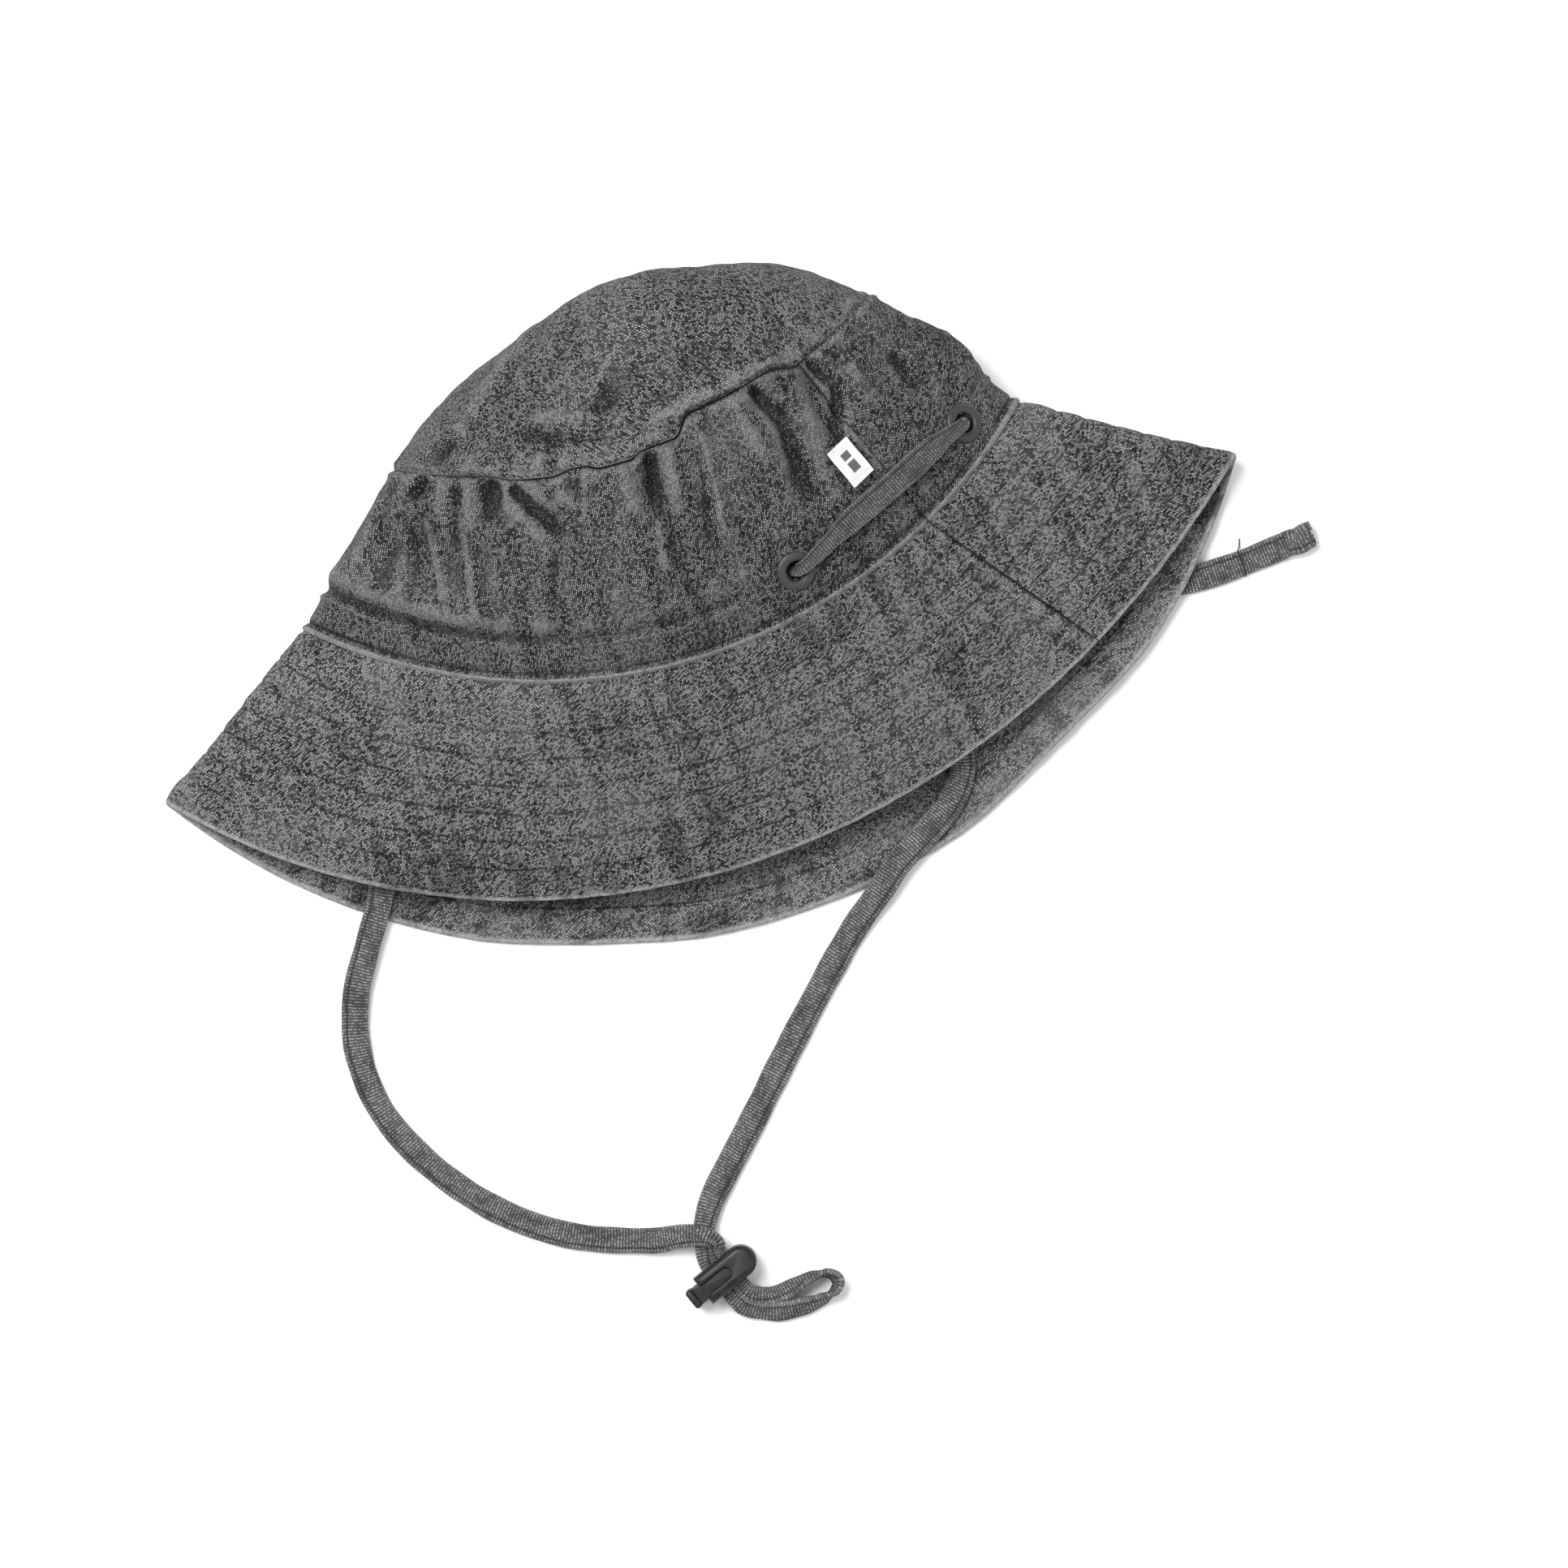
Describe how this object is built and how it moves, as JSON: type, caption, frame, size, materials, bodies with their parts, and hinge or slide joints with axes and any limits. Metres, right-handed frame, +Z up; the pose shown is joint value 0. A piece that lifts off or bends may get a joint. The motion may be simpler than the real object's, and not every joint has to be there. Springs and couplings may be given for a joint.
{
  "type": "bucket hat",
  "caption": "Child's washed denim bucket hat, half flattened on its side, with a quilted brim and a chin strap threaded through side eyelets and a sprung cord lock.",
  "frame": {"origin": "centre of the hat's box on the surface that it lies on, without the strap and lock", "axes": "+X along the folded length of the brim, +Y along the crown towards its top, +Z up from the surface"},
  "size_m": [0.355, 0.3125, 0.0615],
  "materials": {
    "denim": "washed charcoal twill denim",
    "denim_inside": "darker inner face of the washed twill",
    "lining": "plain dark cotton",
    "interlining": "non-woven stiffener",
    "strap": "folded tube of ribbed denim",
    "eyelet_paint": "dark matte paint, worn bright in the bore",
    "washer_steel": "plain",
    "label": "white satin tape",
    "lock_plastic": "fine matte black",
    "spring_steel": "bright wire"
  },
  "bodies": {
    "root": {"crown_tip": "denim", "crown_tip_lining": "lining", "crown_side_front": "denim", "crown_side_back": "denim", "crown_side_lining_front": "lining", "crown_side_lining_back": "lining", "sweatband": "denim_inside", "brim_upper_front": "denim", "brim_upper_back": "denim", "brim_interlining_front": "interlining", "brim_interlining_back": "interlining", "brim_under_front": "denim_inside", "brim_under_back": "denim_inside", "eyelet_near_front": "eyelet_paint", "eyelet_near_back": "eyelet_paint", "eyelet_far_front": "eyelet_paint", "eyelet_far_back": "eyelet_paint", "eyelet_washer_near_front": "washer_steel", "eyelet_washer_near_back": "washer_steel", "eyelet_washer_far_front": "washer_steel", "eyelet_washer_far_back": "washer_steel", "chin_strap": "strap", "strap_bridge": "strap", "strap_tail_near": "strap", "strap_tail_far": "strap", "strap_tail_end_near": "strap", "strap_tail_end_far": "strap", "label": "label"},
    "cord_lock": {"cord_lock_housing": "lock_plastic", "cord_lock_spring": "spring_steel"},
    "lock_button": {"cord_lock_button": "lock_plastic"}
  },
  "joints": [
    {"name": "lock_slide", "type": "slide", "parent": "root", "child": "cord_lock", "axis": [0.3584, -0.9336, 0], "range_m": [0, 0.003]},
    {"name": "button_press", "type": "slide", "parent": "cord_lock", "child": "lock_button", "axis": [0.9336, 0.3584, 0], "range_m": [0, 0.002], "stiffness_N_per_m": 400, "springref_m": -0.002, "deforming": ["cord_lock_spring"]}
  ]
}
